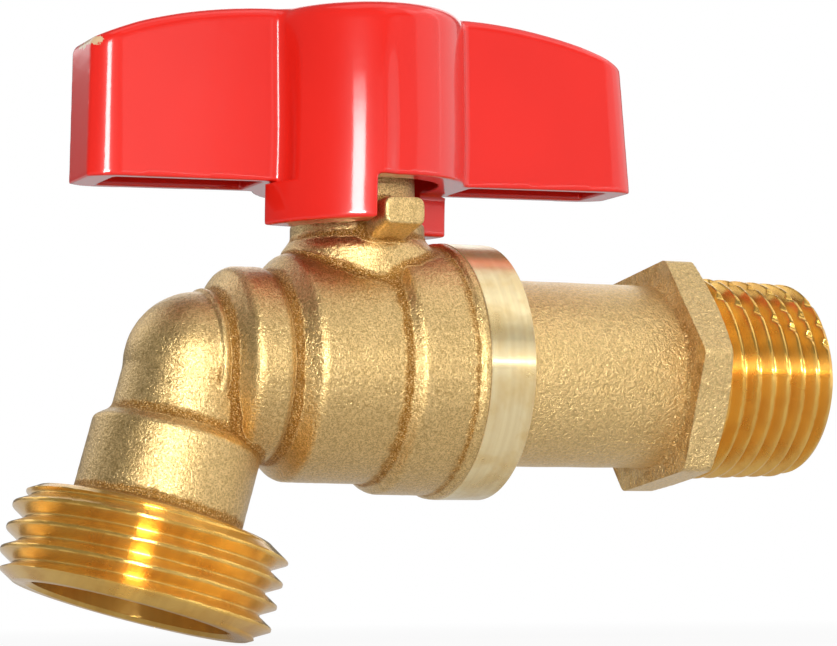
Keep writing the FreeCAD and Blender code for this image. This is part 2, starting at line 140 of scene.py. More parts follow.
# ---------------------------------------------------------------- mesh tools
def rounded(corners, closed=False, step=math.radians(6)):
    """Points through (u, v, rounding) corners, with a tangent arc at each rounded one."""
    points = []
    count = len(corners)
    for i, (u, v, radius) in enumerate(corners):
        here = np.array((u, v), float)
        if radius == 0 or (not closed and i in (0, count - 1)):
            points.append(here)
            continue
        back = np.array(corners[i - 1][:2], float) - here
        ahead = np.array(corners[(i + 1) % count][:2], float) - here
        back /= np.linalg.norm(back)
        ahead /= np.linalg.norm(ahead)
        half = math.acos(np.clip(back @ ahead, -1, 1)) / 2
        bisector = (back + ahead) / np.linalg.norm(back + ahead)
        centre = here + bisector * radius / math.sin(half)
        first = here + back * radius / math.tan(half) - centre
        last = here + ahead * radius / math.tan(half) - centre
        a, b = math.atan2(first[1], first[0]), math.atan2(last[1], last[0])
        sweep = (b - a + math.pi) % (2 * math.pi) - math.pi
        steps = max(2, int(abs(sweep) / step) + 1)
        for k in range(steps + 1):
            angle = a + sweep * k / steps
            points.append(centre + radius * np.array((math.cos(angle), math.sin(angle))))
    return points


def subdivided(points, longest):
    """The same run of points with no step longer than longest."""
    out = [points[0]]
    for a, b in zip(points[:-1], points[1:]):
        n = max(1, int(math.ceil(np.linalg.norm(b - a) / longest)))
        out.extend(a + (b - a) * k / n for k in range(1, n + 1))
    return out


def mesh_object(name, verts, faces, matrix=None):
    """Object from points in millimetres, written to the mesh in metres."""
    mesh = bpy.data.meshes.new(name)
    placed = np.array(verts, float)
    if matrix is not None:
        m = np.array(matrix)
        placed = placed @ m[:3, :3].T + m[:3, 3]
    mesh.from_pydata((placed * MM).tolist(), [], faces)
    mesh.validate()
    obj = bpy.data.objects.new(name, mesh)
    bpy.context.scene.collection.objects.link(obj)
    return obj


def revolved(name, points, matrix, segments=180, radius_at=None):
    """Closed surface of revolution; radius_at(theta, radius, distance) may vary the radius."""
    theta = np.arange(segments) * 2 * math.pi / segments
    loop = np.allclose(points[0], points[-1])
    points = points[:-1] if loop else points
    verts, rings = [], []
    for r, d in points:
        if r < 1e-6:
            rings.append([len(verts)])
            verts.append((0, 0, d))
            continue
        radius = np.full(segments, r) if radius_at is None else radius_at(theta, r, d)
        rings.append(list(range(len(verts), len(verts) + segments)))
        verts.extend(zip(radius * np.cos(theta), radius * np.sin(theta), np.full(segments, d)))
    faces = []
    pairs = list(zip(rings[:-1], rings[1:])) + ([(rings[-1], rings[0])] if loop else [])
    for a, b in pairs:
        for i in range(segments):
            j = (i + 1) % segments
            if len(a) == 1 and len(b) == 1:
                continue
            if len(a) == 1:
                faces.append((a[0], b[j], b[i]))
            elif len(b) == 1:
                faces.append((a[i], a[j], b[0]))
            else:
                faces.append((a[i], a[j], b[j], b[i]))
    return mesh_object(name, verts, faces, matrix)


def turned(name, corners, matrix, segments=180):
    """Lathe solid through (radius, distance, rounding) corners that start and end on the axis."""
    return revolved(name, subdivided(rounded(corners), longest_step), matrix, segments)


def outward(obj):
    """Makes the faces of a closed mesh point outwards."""
    bm = bmesh.new()
    bm.from_mesh(obj.data)
    bmesh.ops.recalc_face_normals(bm, faces=bm.faces)
    bm.to_mesh(obj.data)
    bm.free()
    return obj


def applied(obj):
    """Replaces the mesh by what its modifiers make of it."""
    graph = bpy.context.evaluated_depsgraph_get()
    mesh = bpy.data.meshes.new_from_object(obj.evaluated_get(graph), depsgraph=graph)
    obj.modifiers.clear()
    old = obj.data
    obj.data = mesh
    bpy.data.meshes.remove(old)
    return obj


def combined(target, other, operation, solver="MANIFOLD"):
    """Boolean of two closed meshes; the second one is used up."""
    modifier = target.modifiers.new("boolean", "BOOLEAN")
    modifier.operation = operation
    modifier.object = other
    modifier.solver = solver
    applied(target)
    bpy.data.objects.remove(other)
    return target


def joined(name, objects):
    """One object holding all these meshes, unmerged."""
    verts, faces = [], []
    for obj in objects:
        base = len(verts)
        verts.extend(np.array([v.co for v in obj.data.vertices]) / MM)
        faces.extend(tuple(base + i for i in p.vertices) for p in obj.data.polygons)
        bpy.data.objects.remove(obj)
    return mesh_object(name, verts, faces)


def remeshed(obj, voxel):
    """Skin around everything in the mesh, as even quads."""
    modifier = obj.modifiers.new("skin", "REMESH")
    modifier.mode = "VOXEL"
    modifier.voxel_size = voxel * MM
    modifier.adaptivity = 0
    return applied(obj)


def coordinates(mesh):
    co = np.empty(len(mesh.vertices) * 3)
    mesh.vertices.foreach_get("co", co)
    return co.reshape(-1, 3)


def set_coordinates(mesh, co):
    mesh.vertices.foreach_set("co", co.ravel())
    mesh.update()


def edge_ends(mesh):
    ends = np.empty(len(mesh.edges) * 2, int)
    mesh.edges.foreach_get("vertices", ends)
    return ends.reshape(-1, 2)


def normals(mesh):
    n = np.empty(len(mesh.vertices) * 3)
    mesh.vertex_normals.foreach_get("vector", n)
    return n.reshape(-1, 3)


def face_centres(mesh):
    centres = np.empty(len(mesh.polygons) * 3)
    mesh.polygons.foreach_get("center", centres)
    return centres.reshape(-1, 3)


def set_slots(mesh, index):
    mesh.polygons.foreach_set("material_index", index.astype(np.int32))
    mesh.update()


def attribute(mesh, name, values):
    layer = mesh.attributes.new(name, "FLOAT", "POINT")
    layer.data.foreach_set("value", values.astype(np.float32))


def shaded(obj, degrees):
    """Smooth shading with a crease wherever two faces meet more sharply than this."""
    obj.data.shade_smooth()
    obj.data.set_sharp_from_angle(angle=math.radians(degrees))


def relaxed(values, ends, rounds, share=0.5):
    """Each value moved towards its neighbours' mean, a few times."""
    values = values.copy()
    count = len(values)
    a = np.concatenate((ends[:, 0], ends[:, 1]))
    b = np.concatenate((ends[:, 1], ends[:, 0]))
    degree = np.maximum(np.bincount(a, minlength=count), 1)
    for _ in range(rounds):
        for column in range(values.shape[1]):
            mean = np.bincount(a, weights=values[b, column], minlength=count) / degree
            values[:, column] += share * (mean - values[:, column])
    return values


def lattice(ix, iy, iz, seed):
    """Repeatable random number from 0 to 1 for each lattice point."""
    h = (ix * 374761393 + iy * 668265263 + iz * 2147483647 + seed * 1274126177) & 0xFFFFFFFF
    h = ((h ^ (h >> 13)) * 1103515245) & 0xFFFFFFFF
    h = ((h ^ (h >> 16)) * 69069) & 0xFFFFFFFF
    return ((h >> 8) & 0xFFFF) / 65535.0


def smooth_noise(points, seed):
    """Smooth noise from -1 to 1 with a wavelength of about one unit."""
    cell = np.floor(points).astype(np.int64)
    f = points - cell
    f = f * f * (3 - 2 * f)
    total = np.zeros(len(points))
    for dx in (0, 1):
        for dy in (0, 1):
            for dz in (0, 1):
                weight = np.abs(1 - dx - f[:, 0]) * np.abs(1 - dy - f[:, 1]) * np.abs(1 - dz - f[:, 2])
                total += weight * lattice(cell[:, 0] + dx, cell[:, 1] + dy, cell[:, 2] + dz, seed)
    return total * 2 - 1


def soft_ramp(x, soft):
    """max(0, x) with its corner rounded over soft on each side."""
    return np.where(x < -soft, 0.0, np.where(x > soft, x, (x + soft) ** 2 / (4 * soft)))


def ramp(x, low, high):
    """0 below low, 1 above high and a smooth step between them."""
    t = np.clip((x - low) / (high - low), 0, 1)
    return t * t * (3 - 2 * t)


def bell(x, width):
    """1 at x = 0, falling off smoothly on both sides within about one width."""
    return np.exp(-(x / width) ** 2)


def local(points, matrix):
    """Radius from a part's own axis and distance along it, in millimetres."""
    m = np.array(matrix.inverted())
    placed = points / MM @ m[:3, :3].T + m[:3, 3]
    return np.hypot(placed[:, 0], placed[:, 1]), placed[:, 2]


def thread_radius(theta, distance, crest, pitch, front):
    """Outside radius of a 60 degree right-hand thread with softened crests and roots.

    The groove's centre passes theta 0 a pitch and a quarter before the distance front.
    """
    depth = thread_depth * pitch
    half_groove = pitch * (1 - crest_flat) / 2
    start = front - pitch / 4 - pitch
    turns = (distance - start) / pitch - theta / (2 * math.pi)
    away = np.abs(turns - np.maximum(np.round(turns), 0)) * pitch
    cut = soft_ramp((half_groove - away) / math.tan(flank_angle), crest_softness)
    cut = depth - soft_ramp(depth - cut, root_softness)
    return crest - cut


# ---------------------------------------------------------------- handle
def half_plan():
    """Points (x, y, outward x, outward y, rounding) down the -Y side of the handle."""
    gap = wing_half_width + hub_junction
    junction_x = math.sqrt((hub_radius + hub_junction) ** 2 - gap ** 2)
    on_hub = math.atan2(gap, junction_x)
    corner_x = wing_end - 0.1 - wing_corner_radius * math.sin(wing_corner_turn)
    side = []
    for k in range(25):
        a = wing_corner_turn * (24 - k) / 24
        rounding = wing_rounding - (wing_rounding - tip_rounding) * (a / wing_corner_turn) ** 2
        side.append((corner_x + wing_corner_radius * math.sin(a),
                     -wing_end_half_width + wing_corner_radius * (1 - math.cos(a)),
                     math.sin(a), -math.cos(a), rounding))
    narrowing = wing_end_half_width - wing_half_width
    slope = math.atan2(narrowing, corner_x - junction_x)
    for k in range(1, 40):
        t = k / 40
        side.append((corner_x + (junction_x - corner_x) * t, -wing_end_half_width + narrowing * t,
                     -math.sin(slope), -math.cos(slope), wing_rounding))
    for k in range(13):
        a = math.pi / 2 - (math.pi / 2 - on_hub) * k / 12
        side.append((junction_x - hub_junction * math.cos(a), -gap + hub_junction * math.sin(a),
                     math.cos(a), -math.sin(a), wing_rounding + (hub_rounding - wing_rounding) * k / 12))
    hub = []
    for k in range(1, 81):
        a = on_hub + (math.pi / 2 - on_hub) * k / 80
        hub.append((hub_radius * math.cos(a), -hub_radius * math.sin(a),
                    math.cos(a), -math.sin(a), hub_rounding))
    right = side + hub
    left = [(-x, y, -nx, ny, r) for x, y, nx, ny, r in right]
    return left[:-1] + right[::-1]


def top_height(x):
    """Height of the handle's top over the pipe axis: flat over the hub, arched to the tips."""
    far, mid, near = np.array(wing_tip), np.array(wing_arch), np.array((hub_flat_reach, hub_top))
    a, b = mid - far, near - mid
    d1, d2 = (mid @ mid - far @ far) / 2, (near @ near - mid @ mid) / 2
    centre = np.linalg.solve(np.array((a, b)), np.array((d1, d2)))
    radius = np.linalg.norm(centre - near)
    x = min(abs(x), 30.0)
    if x < hub_flat_reach:
        return hub_top
    return centre[1] + math.sqrt(radius ** 2 - (x - centre[0]) ** 2)


def grip():
    """Solid hub and wings, with the upper edges rounded and the wing tips leaning inwards."""
    plan = half_plan()
    count = len(plan)
    levels = [(share, 0.0) for share in np.linspace(0, 1, 14)]
    levels += [(1.0, angle) for angle in np.radians(np.linspace(7.5, 90, 12))]
    verts = []
    for share, angle in levels:
        for mirrored in (1, -1):
            for x, y, nx, ny, r in plan:
                inset = r * (1 - math.cos(angle))
                px, py = x - nx * inset, y - ny * inset
                wall = top_height(px) - r - wing_bottom
                z = wing_bottom + wall * share + r * math.sin(angle)
                near_tip = max(0.0, (abs(px) - wing_lean_start) / 5.2)
                lean = wing_lean * (z - wing_bottom) / 13.0 * near_tip
                verts.append((px - math.copysign(lean, px), py * mirrored, z))
    faces = []
    loop = list(range(count)) + list(range(2 * count - 1, count - 1, -1))
    for k in range(len(levels) - 1):
        a, b = k * 2 * count, (k + 1) * 2 * count
        for i in range(len(loop)):
            p, q = loop[i], loop[(i + 1) % len(loop)]
            faces.append((a + p, a + q, b + q, b + p))
    for level, flip in ((0, True), (len(levels) - 1, False)):
        base = level * 2 * count
        for i in range(count - 1):
            quad = (base + i, base + i + 1, base + count + i + 1, base + count + i)
            faces.append(quad[::-1] if flip else quad)
    return mesh_object("grip", [(x + stem_x, y, z) for x, y, z in verts], faces)


def sector(name, inner, outer, low, high, first, last):
    """Solid ring sector round the stem, between two angles."""
    verts, faces = [], []
    steps = 60
    for k in range(steps + 1):
        a = first + (last - first) * k / steps
        for r, z in ((inner, low), (outer, low), (outer, high), (inner, high)):
            verts.append((stem_x + r * math.cos(a), r * math.sin(a), z))
    for k in range(steps):
        for c in range(4):
            p, q = 4 * k + c, 4 * k + (c + 1) % 4
            faces.append((p, q, q + 4, p + 4))
    faces += [(3, 2, 1, 0), tuple(4 * steps + c for c in range(4))]
    return outward(mesh_object(name, verts, faces))


def block(name, low, high):
    """Closed box between two corners, used only to cut with."""
    x, y, z = zip(low, high)
    verts = [(x[i], y[j], z[k]) for i in (0, 1) for j in (0, 1) for k in (0, 1)]
    faces = [(0, 1, 3, 2), (4, 6, 7, 5), (0, 4, 5, 1), (2, 3, 7, 6), (0, 2, 6, 4), (1, 5, 7, 3)]
    return outward(mesh_object(name, verts, faces))


def seated(co):
    """Handle as cast and fitted.

    Two quarters of the hub flare towards the skirt tabs, the casting leans a little, and the
    handle sits off level, the inlet side high.
    """
    p = co / MM - np.array((stem_x, 0, 0))
    radius = np.hypot(p[:, 0], p[:, 1])
    under_wing = 1 - ramp(p[:, 2], wing_bottom - 0.25, wing_bottom - 0.05)
    up_hub = np.clip((p[:, 2] - wing_bottom) / (hub_top - 1.5 - wing_bottom), 0, 1)
    down_hub = (1 - up_hub ** 2) * ramp(np.abs(p[:, 1]), 4.6, 6.5)
    quarter = ramp(p[:, 0] * np.sign(p[:, 1]), 0.2, 2.2)
    outside = ramp(radius, 8.6, 9.8) * (radius < 11.2)
    flare = tab_flare * np.maximum(under_wing, down_hub) * quarter * outside
    p[:, :2] *= (1 + flare / np.maximum(radius, 1))[:, None]
    on_wing = ramp(np.abs(p[:, 0]), 11, 20)
    up_skirt = ramp(p[:, 2], skirt_bottom, 24.0)
    down_wing = (33.0 - p[:, 2]) / 15.0
    p[:, 0] += casting_shift * ((1 - on_wing) * up_skirt + on_wing * down_wing)
    p[:, 2] += p[:, 0] * math.tan(off_level)
    return (p + np.array((stem_x, 0, 0))) * MM


def handle_mesh():
    """Enamelled handle: hub and wings with pockets, skirt tabs, drive square and recess."""
    shape = outward(grip())
    trim = math.asin((lug_half_width + stop_gap) / (0.5 * (hub_radius + skirt_inner)))
    for start in (0.0, math.pi):
        tab = sector("tab", skirt_inner - 0.2, hub_radius, skirt_bottom, wing_bottom + 1.5,
                     start + trim, start + math.pi / 2 - trim)
        shape = combined(shape, tab, "UNION", "EXACT")
    inside = turned("inside", [
        (0, 10, 0),
        (skirt_inner, 10, 0),
        (skirt_inner, stem_shoulder, 0.8),
        (0, stem_shoulder, 0),
    ], STEM, 240)
    recess = turned("recess", [
        (0, recess_floor, 0),
        (recess_radius, recess_floor, 0.3),
        (recess_radius, 38, 0),
        (0, 38, 0),
    ], STEM, 240)
    drive = block("drive", (stem_x - drive_half, -drive_half, 22), (stem_x + drive_half, drive_half, 32))
    for tool in (inside, recess, drive):
        shape = combined(shape, outward(tool), "DIFFERENCE", "EXACT")
    for side in (1, -1):
        x = sorted((stem_x + side * pocket_start, stem_x + side * pocket_end))
        pocket = block("pocket", (x[0], -pocket_half_width, 15), (x[1], pocket_half_width, pocket_top))
        shape = combined(shape, pocket, "DIFFERENCE", "EXACT")
    shape.name = shape.data.name = "handle_enamel"
    remeshed(shape, handle_voxel)
    mesh = shape.data
    co = relaxed(coordinates(mesh), edge_ends(mesh), 8)
    set_coordinates(mesh, seated(co))
    return shape


# ---------------------------------------------------------------- cast body
def lug_mesh():
    """Stop lug on the -Y side, sloping down into the bonnet."""
    section = rounded([
        (-lug_half_width, lug_top, 0.8),
        (lug_half_width, lug_top, 0.8),
        (lug_half_width, lug_bottom, 0.7),
        (-lug_half_width, lug_bottom, 0.7),
    ], True)
    middle = (lug_top + lug_bottom) / 2
    stations = [(lug_reach, 0.0, 0.25), (lug_reach - 0.07, 0.0, 0.1), (lug_reach - 0.25, 0.0, 0.0),
                (lug_root, lug_drop, 0.0)]
    verts, faces = [], []
    for y, drop, shrink in stations:
        k = (lug_half_width - shrink) / lug_half_width
        for u, v in section:
            low = (middle - v) / (middle - lug_bottom) if v < middle else 0.0
            verts.append((stem_x + u * k, -y, middle + (v - middle) * k - drop * low))
    n = len(section)
    for s in range(len(stations) - 1):
        for i in range(n):
            j = (i + 1) % n
            faces.append((s * n + i, s * n + j, (s + 1) * n + j, (s + 1) * n + i))
    faces += [tuple(range(n)), tuple(range(len(verts) - 1, len(verts) - 1 - n, -1))]
    return outward(mesh_object("lug", verts, faces))


def body_casting():
    """Cast run, knuckle, spout pipe, bonnet and stop lug, skinned as one casting."""
    run = turned("run", [
        (0, bend_x, 0),
        (elbow_radius, bend_x, 0),
        (elbow_radius + 0.1, -16.85, 0.3),
        (elbow_radius - 0.3, -16.05, 0.35),
        (first_bulge_radius, -14.35, 1.3),
        (first_bulge_radius + 0.05, -11.20, 0.6),
        (groove_radius, -10.25, 0.35),
        (second_bulge_radius, -8.35, 1.25),
        (second_bulge_radius + 0.14, 0.45, 0.45),
        (third_bulge_radius, 1.70, 0.9),
        (third_bulge_radius + 0.07, 7.35, 0.25),
        (ring_radius - 0.03, 7.85, 0.2),
        (ring_radius - 0.03, ring_start + 0.6, 0),
        (0, ring_start + 0.6, 0),
    ], PIPE)
    knuckle = revolved("knuckle", [np.array((knuckle_radius * math.sin(a), -knuckle_radius * math.cos(a)))
                                   for a in np.linspace(0, math.pi, 60)], SPOUT)
    pipe = turned("pipe", [
        (0, 0, 0),
        (spout_radius, 0, 0),
        (spout_radius, collar_start - 1.2, 1.0),
        (collar_radius, collar_start, 0.5),
        (collar_radius, collar_end, 0.3),
        (flange_radius - 0.4, collar_end + 0.7, 0),
        (flange_radius - 0.4, blank_start - 0.1, 0),
        (0, blank_start - 0.1, 0),
    ], SPOUT)
    bonnet = turned("bonnet", [
        (0, 2.0, 0),
        (bonnet_foot_radius + 0.45, 2.0, 0),
        (bonnet_foot_radius, 11.6, 1.2),
        (bonnet_collar_radius, 12.9, 0.6),
        (bonnet_collar_radius, bonnet_collar_top, 0.25),
        (bonnet_radius, bonnet_collar_top + 0.15, 0),
        (bonnet_radius, bonnet_top, 0.3),
        (0, bonnet_top, 0),
    ], STEM)
    shape = joined("valve_body_cast", [run, knuckle, pipe, bonnet, lug_mesh()])
    return remeshed(shape, body_voxel)


def hose_thread():
    """Hose thread with its flange, which goes on the end of the spout."""
    blank_distance = [flange_start, blank_start, blank_end, spout_end]
    blank_radius = [flange_radius, hose_crest, hose_crest, nose_radius]

    def outside(theta, r, d):
        if r < 11.0 or d < 15.5:
            return np.full(len(theta), r)
        helix = thread_radius(theta, d, hose_crest, hose_pitch, hose_front)
        return np.minimum(np.interp(d, blank_distance, blank_radius), helix)

    points = [np.array(p) for p in [(0, 15.0), (8.0, 15.0), (11.6, 15.35)]]
    points += [np.array((12.0, d)) for d in np.arange(flange_start, spout_end, thread_step)]
    points += [np.array((12.0, spout_end)), np.array((0, spout_end))]
    return revolved("hose_thread", points, SPOUT, 360, outside)


def body_bores():
    """Solids that are cut out of the body: ball chamber, stem hole, spout bore and passage."""
    spigot_bore = spigot_radius + spigot_slip
    chamber = turned("chamber", [
        (0, -seat_back, 0),
        (seat_pocket_radius, -seat_back, 0),
        (seat_pocket_radius, -5.6, 0),
        (chamber_radius, -5.3, 0),
        (chamber_radius, spigot_start - 0.1, 0),
        (spigot_bore, spigot_start - 0.1, 0),
        (spigot_bore, 9, 0),
        (0, 9, 0),
    ], PIPE)
    stem_hole = turned("stem_hole", [
        (0, 0, 0),
        (stem_flange_radius, 0, 0),
        (stem_flange_radius, washer_top, 0),
        (stem_hole_radius, washer_top, 0),
        (stem_hole_radius, packing_floor, 0),
        (packing_radius, packing_floor, 0),
        (packing_radius, bonnet_top + 1, 0),
        (0, bonnet_top + 1, 0),
    ], STEM)
    lip_radius = mouth_radius + mouth_chamfer + 0.05
    spout_bore = turned("spout_bore", [
        (0, 0, 0),
        (passage_radius, 0, 0),
        (passage_radius, collar_bore_start - 1.0, 0.8),
        (collar_bore_radius, collar_bore_start, 0.8),
        (collar_bore_radius, mouth_floor - 2.0, 0.4),
        (mouth_radius, mouth_floor, 0.4),
        (mouth_radius, spout_end - mouth_chamfer, 0),
        (lip_radius, spout_end + 0.05, 0),
        (lip_radius, 26, 0),
        (0, 26, 0),
    ], SPOUT)
    passage = turned("passage", [
        (0, bend_x - 1.5, 0),
        (passage_radius - 0.02, bend_x - 1.5, 0),
        (passage_radius - 0.02, -8.0, 0),
        (0, -8.0, 0),
    ], PIPE)
    return chamber, stem_hole, spout_bore, passage


def valve_body_mesh():
    """Cast body with grain in its skin, a mask of its hollows for painted shade, the hose thread on its
    spout, and its bores.
    """
    shape = body_casting()
    mesh = shape.data
    ends = edge_ends(mesh)
    co = relaxed(coordinates(mesh), ends, 4)
    set_coordinates(mesh, co)
    n = normals(mesh)
    # depth of each point below its widely smoothed surroundings, kept as the mask for painted shade in the
    # hollows
    wide = relaxed(co, ends, 130)
    hollow_shade = np.einsum("ij,ij->i", wide - co, n) / MM
    grain = 0.012 * smooth_noise(co / MM * 1.9, 1) + 0.010 * smooth_noise(co / MM * 3.3, 2)
    set_coordinates(mesh, co + n * (grain * MM)[:, None])
    attribute(mesh, "hollow_shade", hollow_shade)
    face_cut = turned("end", [
        (0, ring_start, 0),
        (ring_radius - 0.15, ring_start, 0),
        (ring_radius + 0.05, ring_start - face_edge_break, 0),
        (14.5, ring_start - face_edge_break, 0),
        (14.5, 12, 0),
        (0, 12, 0),
    ], PIPE)
    combined(shape, outward(face_cut), "DIFFERENCE")
    combined(shape, outward(hose_thread()), "UNION")
    for tool in body_bores():
        combined(shape, outward(tool), "DIFFERENCE")
    shape.name = shape.data.name = "valve_body_cast"
    return shape


# ---------------------------------------------------------------- inlet tail
def hex_radius(theta, d):
    """Outside of the hex, with its corners eased and chamfered on the thread's side."""
    away = (theta - hex_corner + math.pi / 6) % (math.pi / 3) - math.pi / 6
    flat = hex_across / 2 / np.cos(math.pi / 6 - np.abs(away))
    corner = hex_across / 2 / math.cos(math.pi / 6)
    flat = corner - 0.16 - soft_ramp(corner - 0.16 - flat, 0.16)
    cone = np.interp(d, [hex_start, hex_start + 0.12, hex_end - 0.55, hex_end],
                     [corner + 0.2, corner + 0.2, corner - 0.05, hex_across / 2])
    return cone - soft_ramp(cone - flat, 0.12)


def pipe_thread_radius(theta, d):
    """Outside of the tapered thread, with rows of dents across its crests."""
    crest = inlet_crest - (d - hex_end) * inlet_taper
    helix = thread_radius(theta, d, crest, inlet_pitch, inlet_front)
    for angle, first in dent_rows:
        away = (theta - math.radians(270 - angle) - dent_slant * (d - 43)) * crest
        away = (away + math.pi * crest) % (2 * math.pi * crest) - math.pi * crest
        if d > first:
            helix = np.minimum(helix, crest - dent_depth * bell(away, dent_width))
    tip = np.interp(d, [inlet_face - tip_chamfer, inlet_face], [crest, 9.9])
    return np.minimum(helix, tip)


def neck_surface(theta, r, d):
    """Outside of the neck, slightly out of round, with a parting ridge near the hex."""
    away = (theta - parting_angle) * r
    ridge = parting_height * np.clip((d - 24) / 4, 0, 1) * bell(away, parting_width)
    return r + ridge + 0.012 * np.sin(3 * theta + d)


def inlet_mesh():
    """Screwed-in tail, swept round the pipe axis: ring, neck, hex, tapered thread and bore."""
    def outside(theta, r, d):
        if r < 9.35 or d < ring_start:
            return np.full(len(theta), r)
        if hex_start - 1e-6 <= d <= hex_end + 1e-6 and r > 9.9:
            return hex_radius(theta, d)
        if d > hex_end:
            return pipe_thread_radius(theta, d)
        if ring_end + 1 < d < hex_start - 0.3:
            return neck_surface(theta, r, d)
        return np.full(len(theta), r)

    outer = rounded([
        (5.0, spigot_start, 0),
        (spigot_radius - 0.3, spigot_start, 0),
        (spigot_radius, spigot_start + 0.3, 0),
        (spigot_radius, ring_start, 0),
        (ring_radius - ring_edge, ring_start, 0),
        (ring_radius, ring_start + ring_edge, 0),
        (ring_radius, ring_end - ring_edge, 0),
        (ring_radius - ring_edge, ring_end, 0),
        (neck_radius, ring_end, 0.9),
        (neck_radius, hex_start - 0.01, 0.5),
        (10.2, hex_start - 0.005, 0),
    ])
    hexed = [np.array((11.0, d)) for d in np.linspace(hex_start, hex_end, 36)]
    thread = [np.array((10.5, d)) for d in np.arange(hex_end + 0.01, inlet_face, thread_step)]
    thread.append(np.array((10.5, inlet_face)))
    inner = rounded([
        (9.9, inlet_face, 0),
        (tail_bore_radius + 0.5, inlet_face, 0),
        (tail_bore_radius, inlet_face - 0.5, 0),
        (tail_bore_radius, bore_step, 0.8),
        (passage_radius, bore_step - 2.0, 0.8),
        (passage_radius, seat_back, 0),
        (seat_pocket_radius, seat_back, 0),
        (seat_pocket_radius, spigot_start, 0),
    ])
    points = subdivided(outer, 0.8) + hexed + thread + subdivided(inner[1:], 2.5)
    points = points[1:] + [points[1]]
    return outward(revolved("inlet_tail_turned", points, PIPE, 360, outside))


# ---------------------------------------------------------------- materials
class Nodes:
    """Short way to write a material's node tree."""

    def __init__(self, name):
        self.material = bpy.data.materials.new(name)
        self.material.use_nodes = True
        self.tree = self.material.node_tree
        self.shader = self.tree.nodes["Principled BSDF"]
        self.output = self.tree.nodes["Material Output"]

    def add(self, kind, **settings):
        node = self.tree.nodes.new(kind)
        for key, value in settings.items():
            setattr(node, key, value)
        return node

    def link(self, source, target):
        self.tree.links.new(source, target)

    def put(self, socket, value):
        if isinstance(value, bpy.types.NodeSocket):
            self.link(value, socket)
        else:
            socket.default_value = value

    def set(self, name, value):
        self.put(self.shader.inputs[name], value)

    def place(self, rotation=(0, 0, 0), scale=(1, 1, 1), location=(0, 0, 0)):
        coord = self.add("ShaderNodeTexCoord")
        mapping = self.add("ShaderNodeMapping")
        mapping.inputs["Rotation"].default_value = rotation
        mapping.inputs["Scale"].default_value = scale
        mapping.inputs["Location"].default_value = location
        self.link(coord.outputs["Object"], mapping.inputs["Vector"])
        return mapping.outputs["Vector"]

    def noise(self, vector, scale, detail=3.0, rough=0.55, distortion=0.0):
        node = self.add("ShaderNodeTexNoise")
        self.link(vector, node.inputs["Vector"])
        node.inputs["Scale"].default_value = scale
        node.inputs["Detail"].default_value = detail
        node.inputs["Roughness"].default_value = rough
        node.inputs["Distortion"].default_value = distortion
        return node.outputs["Fac"]

    def maths(self, operation, a, b):
        node = self.add("ShaderNodeMath", operation=operation)
        self.put(node.inputs[0], a)
        self.put(node.inputs[1], b)
        return node.outputs[0]

    def times(self, a, b):
        return self.maths("MULTIPLY", a, b)

    def plus(self, a, b):
        return self.maths("ADD", a, b)

    def centred(self, value, amount):
        """A value that averages a half, moved to average nothing and scaled."""
        return self.times(self.maths("SUBTRACT", value, 0.5), amount)

    def fit(self, value, low, high, to_low=0.0, to_high=1.0):
        """Smooth step of a value from one range to another."""
        node = self.add("ShaderNodeMapRange", interpolation_type="SMOOTHSTEP")
        for name, number in zip(("Value", "From Min", "From Max", "To Min", "To Max"),
                                (value, low, high, to_low, to_high)):
            self.put(node.inputs[name], number)
        return node.outputs["Result"]

    def mix(self, factor, a, b, blend="MIX"):
        node = self.add("ShaderNodeMix", data_type="RGBA", blend_type=blend)
        self.put(node.inputs[0], factor)
        self.put(node.inputs[6], a if isinstance(a, bpy.types.NodeSocket) else (*a, 1.0))
        self.put(node.inputs[7], b if isinstance(b, bpy.types.NodeSocket) else (*b, 1.0))
        return node.outputs[2]

    def layer(self, name):
        node = self.add("ShaderNodeAttribute", attribute_name=name)
        return node.outputs["Fac"]

    def bump(self, height, distance, strength=1.0, below=None):
        node = self.add("ShaderNodeBump")
        node.inputs["Strength"].default_value = strength
        node.inputs["Distance"].default_value = distance
        self.link(height, node.inputs["Height"])
        if below is not None:
            self.link(below, node.inputs["Normal"])
        return node.outputs["Normal"]


def scaled(colour, factor):
    return tuple(c * factor for c in colour)


